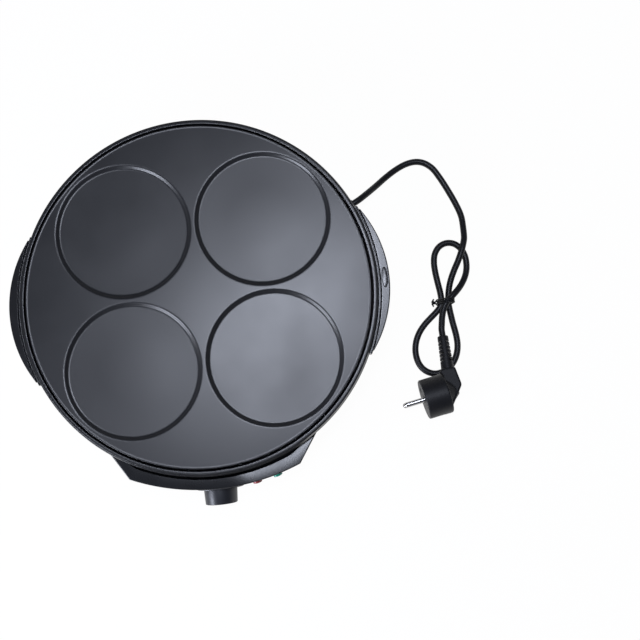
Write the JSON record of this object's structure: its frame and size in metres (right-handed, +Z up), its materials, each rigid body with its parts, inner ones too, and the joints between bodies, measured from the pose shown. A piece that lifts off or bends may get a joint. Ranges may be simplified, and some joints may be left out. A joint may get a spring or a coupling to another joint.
{
  "type": "pancake maker",
  "caption": "Round electric pancake maker: a non-stick plate with shallow wells in a plastic body with side handles, front control panel, turning thermostat knob and mains cord.",
  "frame": {"origin": "on the table under the middle of the box round the body, handles and knob, cord not counted", "axes": "+Z up, -Y towards the user (the control panel's side), +X to the user's right"},
  "size_m": [0.4169, 0.3424, 0.072],
  "materials": {
    "non_stick_plate": "dark non-stick coating on cast aluminium, satin",
    "black_plastic": "black moulded plastic, semi-gloss",
    "knob_plastic": "grey-black satin plastic",
    "dial_sheet": "satin black sheet",
    "black_rubber": "matt",
    "cord_pvc": "black cord sheath, satin",
    "zinc_steel": "zinc plated",
    "black_steel": "black painted sheet steel",
    "element_sheath": "oxidised steel sheath",
    "nickel_plate": "nickel plated",
    "white_ceramic": "white glazed",
    "red_lens": "translucent red",
    "green_lens": "translucent green",
    "lamp_glass": "clear glass",
    "wire_brown": "brown insulation",
    "wire_blue": "blue insulation",
    "wire_yellow": "green and yellow insulation"
  },
  "bodies": {
    "appliance": {"base_cover": "black_steel", "body_shell": "black_plastic", "cooking_plate": "non_stick_plate", "cord_hank": "cord_pvc", "cord_lead": "cord_pvc", "dial_plate": "dial_sheet", "earth_lug": "zinc_steel", "element_strap_1": "zinc_steel", "element_strap_2": "zinc_steel", "element_strap_3": "zinc_steel", "foot_1": "black_rubber", "foot_2": "black_rubber", "foot_3": "black_rubber", "foot_4": "black_rubber", "foot_screw_1": "zinc_steel", "foot_screw_2": "zinc_steel", "foot_screw_3": "zinc_steel", "foot_screw_4": "zinc_steel", "front_panel": "black_plastic", "handle_cap_right": "black_plastic", "handle_left": "black_plastic", "handle_right": "black_plastic", "handle_screw_left_front": "zinc_steel", "handle_screw_left_rear": "zinc_steel", "handle_screw_right_front": "zinc_steel", "handle_screw_right_rear": "zinc_steel", "heat_shield": "zinc_steel", "heating_element": "element_sheath", "lamp_sleeve_green": "black_plastic", "lamp_sleeve_red": "black_plastic", "neon_lamp_green": "lamp_glass", "neon_lamp_red": "lamp_glass", "panel_screw_left": "zinc_steel", "panel_screw_right": "zinc_steel", "pilot_lens_green": "green_lens", "pilot_lens_red": "red_lens", "plate_post_1": "zinc_steel", "plate_post_2": "zinc_steel", "plate_post_3": "zinc_steel", "plug_body": "black_plastic", "plug_earth_strip_1": "nickel_plate", "plug_earth_strip_2": "nickel_plate", "plug_pin_1": "nickel_plate", "plug_pin_2": "nickel_plate", "rim_ring": "black_plastic", "strain_relief": "black_rubber", "terminal_block": "white_ceramic", "thermal_fuse": "white_ceramic", "thermostat_body": "white_ceramic", "thermostat_bracket": "zinc_steel", "twist_tie": "black_plastic", "wire_earth": "wire_yellow", "wire_element": "wire_brown", "wire_live": "wire_brown", "wire_neutral": "wire_blue"},
    "knob": {"knob": "knob_plastic", "thermostat_shaft": "zinc_steel"}
  },
  "joints": [
    {"name": "knob_turn", "type": "hinge", "parent": "appliance", "child": "knob", "pos_m": [0, -0.1563, 0.031], "axis": [0, 1, 0], "range_deg": [0, 270]}
  ]
}
